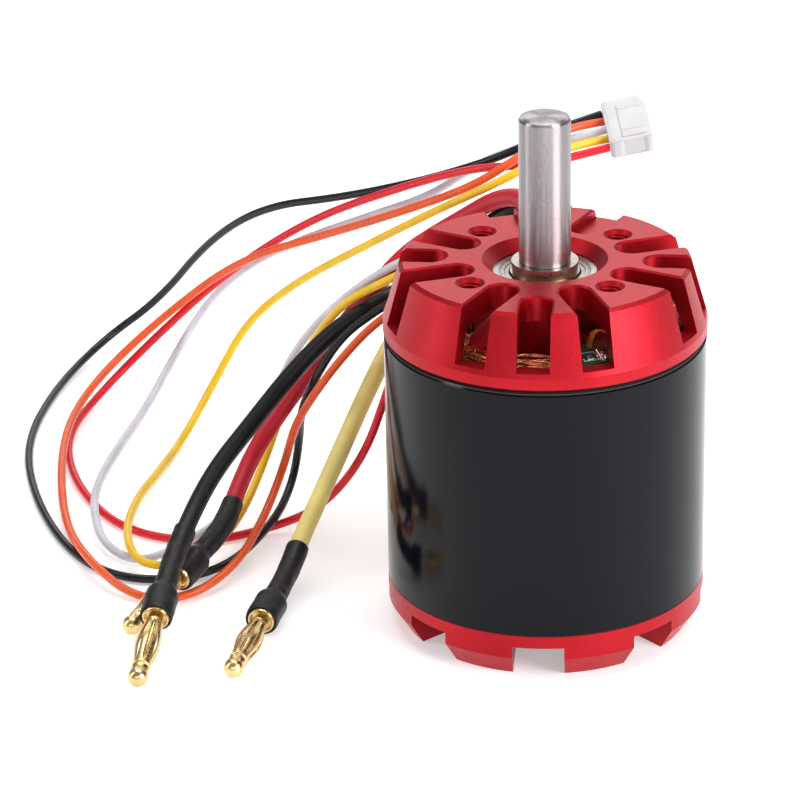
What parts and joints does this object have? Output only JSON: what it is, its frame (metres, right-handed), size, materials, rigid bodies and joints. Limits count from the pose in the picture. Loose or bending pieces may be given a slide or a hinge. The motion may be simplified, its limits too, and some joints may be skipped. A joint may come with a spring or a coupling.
{
  "type": "brushless outrunner motor",
  "caption": "Sensored brushless outrunner motor: black steel can on a red slotted mount, steel shaft, phase leads with gold bullet plugs and thin sensor wires to a white connector.",
  "frame": {"origin": "on the motor's axis at the height of the bottom rim of the turning rear bell", "axes": "+Z along the shaft towards its output end; -Y is the side on which the three bullet plugs point; +X completes a right-handed frame, so the leads leave the front mount at +Y and run to -X"},
  "size_m": [0.1161, 0.1338, 0.0832],
  "materials": {
    "red_anodised": "satin red anodising on bead-blasted aluminium",
    "plain_aluminium": "turned",
    "bearing_steel": "ground bearing steel",
    "bearing_shield": "stamped sheet",
    "lamination_steel": "stacked sheet, dark coating",
    "insulator": "moulded",
    "enamelled_copper": "glossy enamel over copper",
    "tinned_brass": "tinned",
    "circuit_board": "green solder resist",
    "sensor_black": "moulded epoxy",
    "lead_black": "silicone",
    "lead_red": "silicone",
    "lead_yellow": "silicone",
    "wire_white": "extruded insulation",
    "wire_yellow": "extruded insulation",
    "wire_black": "extruded insulation",
    "wire_orange": "extruded insulation",
    "wire_red": "extruded insulation",
    "white_nylon": "slightly translucent",
    "gold_plate": "gold plating",
    "shrink_sleeve": "heat-shrink",
    "black_steel": "black oxide",
    "black_can": "glossy black plating",
    "magnet_nickel": "nickel plating",
    "ground_steel": "ground",
    "spring_steel": "brown spring-steel finish"
  },
  "bodies": {
    "stator": {"front_mount": "red_anodised", "bearing_tube": "plain_aluminium", "front_bearing_outer": "bearing_steel", "front_bearing_shields": "bearing_shield", "rear_bearing_outer": "bearing_steel", "rear_bearing_shields": "bearing_shield", "stator_core": "lamination_steel", "rear_insulator": "insulator", "front_insulator": "insulator", "coils_phase_a": "enamelled_copper", "coils_phase_b": "enamelled_copper", "coils_phase_c": "enamelled_copper", "winding_splices": "tinned_brass", "sensor_board": "circuit_board", "hall_sensors": "sensor_black", "lead_black": "lead_black", "lead_red": "lead_red", "lead_yellow": "lead_yellow", "wire_white": "wire_white", "wire_yellow": "wire_yellow", "wire_black": "wire_black", "wire_orange": "wire_orange", "wire_red": "wire_red", "connector_housing": "white_nylon", "connector_terminals": "tinned_brass", "bullet_black": "gold_plate", "spring_black": "gold_plate", "sleeve_black": "shrink_sleeve", "bullet_red": "gold_plate", "spring_red": "gold_plate", "sleeve_red": "shrink_sleeve", "bullet_yellow": "gold_plate", "spring_yellow": "gold_plate", "sleeve_yellow": "shrink_sleeve"},
    "rotor": {"shaft": "ground_steel", "rear_bell": "red_anodised", "flux_ring": "black_can", "magnets": "magnet_nickel", "grub_screws": "black_steel", "shim_ring": "ground_steel", "circlip": "spring_steel", "front_bearing_inner": "bearing_steel", "rear_bearing_inner": "bearing_steel"},
    "front_ball_set": {"front_bearing_balls": "bearing_steel", "front_bearing_cage": "bearing_shield"},
    "rear_ball_set": {"rear_bearing_balls": "bearing_steel", "rear_bearing_cage": "bearing_shield"}
  },
  "joints": [
    {"name": "rotor_spin", "type": "hinge", "parent": "stator", "child": "rotor", "pos_m": [0, 0, 0], "axis": [0, 0, 1], "continuous": true},
    {"name": "front_ball_spin", "type": "hinge", "parent": "stator", "child": "front_ball_set", "pos_m": [0, 0, 0.0556], "axis": [0, 0, 1], "continuous": true},
    {"name": "rear_ball_spin", "type": "hinge", "parent": "stator", "child": "rear_ball_set", "pos_m": [0, 0, 0.0129], "axis": [0, 0, 1], "continuous": true}
  ],
  "couplings": [
    {"joint": "front_ball_spin", "follows": "rotor_spin", "ratio": 0.4174},
    {"joint": "rear_ball_spin", "follows": "rotor_spin", "ratio": 0.4174}
  ]
}
